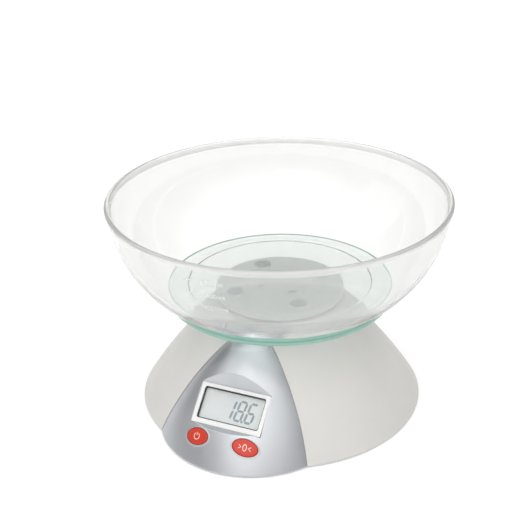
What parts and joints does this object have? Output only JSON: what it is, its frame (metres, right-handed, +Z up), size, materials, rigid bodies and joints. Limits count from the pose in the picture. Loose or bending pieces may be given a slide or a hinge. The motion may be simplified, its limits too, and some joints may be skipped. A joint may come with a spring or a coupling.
{
  "type": "kitchen scale",
  "caption": "Electronic kitchen scale: flared dome base with a bulging front display panel, round glass weighing plate and a clear lift-off measuring bowl.",
  "frame": {"origin": "on the table under the centre of the round weighing plate, at the undersides of the feet", "axes": "+Z up; the display faces -Y; +X to the right of someone who reads the display"},
  "size_m": [0.24, 0.24, 0.1561],
  "materials": {
    "white_shell": "satin moulded ABS",
    "silver_panel": "silver metallic coat on ABS",
    "bezel_white": "satin",
    "window_clear": "clear acrylic with a dark printed border",
    "gasket_black": "matt",
    "lcd": "grey-green reflective liquid crystal display",
    "diffuser_white": "matt",
    "frame_white": "matt",
    "board_green": "solder mask",
    "chip_black": "matt",
    "button_red": "satin red-orange",
    "aluminium": "machined",
    "steel": "zinc plated",
    "sealant_white": "soft",
    "hub_grey": "moulded ABS",
    "pad_silicone": "translucent silicone",
    "plate_glass": "tempered float glass, polished green edge",
    "bowl_clear": "clear moulded styrene with frosted graduations",
    "battery_jacket": "printed jacket",
    "foot_rubber": "matt",
    "wire_red": "PVC",
    "wire_black": "PVC",
    "wire_green": "PVC",
    "wire_white": "PVC"
  },
  "bodies": {
    "base": {"dome_housing": "white_shell", "front_panel": "silver_panel", "base_cover": "white_shell", "cover_screws": "steel", "rubber_feet": "foot_rubber", "display_bezel": "bezel_white", "display_window": "window_clear", "window_gasket": "gasket_black", "lcd_glass": "lcd", "lcd_diffuser": "diffuser_white", "lcd_frame": "frame_white", "zebra_strips": "gasket_black", "main_board": "board_green", "board_screws": "steel", "controller_chip": "chip_black", "tact_switches": "chip_black", "load_cell": "aluminium", "load_cell_potting": "sealant_white", "load_cell_spacer": "aluminium", "load_cell_screws": "steel", "battery_cells": "battery_jacket", "battery_springs": "steel", "battery_contacts": "steel", "battery_lead_positive": "wire_red", "battery_lead_negative": "wire_black", "load_cell_lead_red": "wire_red", "load_cell_lead_black": "wire_black", "load_cell_lead_green": "wire_green", "load_cell_lead_white": "wire_white"},
    "platform": {"hub_column": "hub_grey", "hub_screws": "steel", "plate_carrier": "hub_grey", "carrier_screws": "steel", "plate_pads": "pad_silicone", "glass_plate": "plate_glass"},
    "bowl": {"measuring_bowl": "bowl_clear"},
    "power_key": {"power_button": "button_red", "power_plunger": "frame_white"},
    "tare_key": {"tare_button": "button_red", "tare_plunger": "frame_white"},
    "battery_hatch": {"battery_door": "white_shell"}
  },
  "joints": [
    {"name": "plate_press", "type": "slide", "parent": "base", "child": "platform", "axis": [0, 0, -1], "range_m": [0, 0.0008], "stiffness_N_per_m": 60000, "springref_m": -0.0001, "deforming": ["load_cell"]},
    {"name": "bowl_lift", "type": "slide", "parent": "platform", "child": "bowl", "axis": [0, 0, 1], "range_m": [0, 0.2]},
    {"name": "power_press", "type": "slide", "parent": "base", "child": "power_key", "axis": [0, 0.682, -0.7314], "range_m": [0, 0.0006], "stiffness_N_per_m": 600, "springref_m": -0.001},
    {"name": "tare_press", "type": "slide", "parent": "base", "child": "tare_key", "axis": [0, 0.682, -0.7314], "range_m": [0, 0.0006], "stiffness_N_per_m": 600, "springref_m": -0.001},
    {"name": "battery_door_hinge", "type": "hinge", "parent": "base", "child": "battery_hatch", "pos_m": [0, 0.0489, 0.0024], "axis": [-1, 0, 0], "range_deg": [0, 90]}
  ]
}
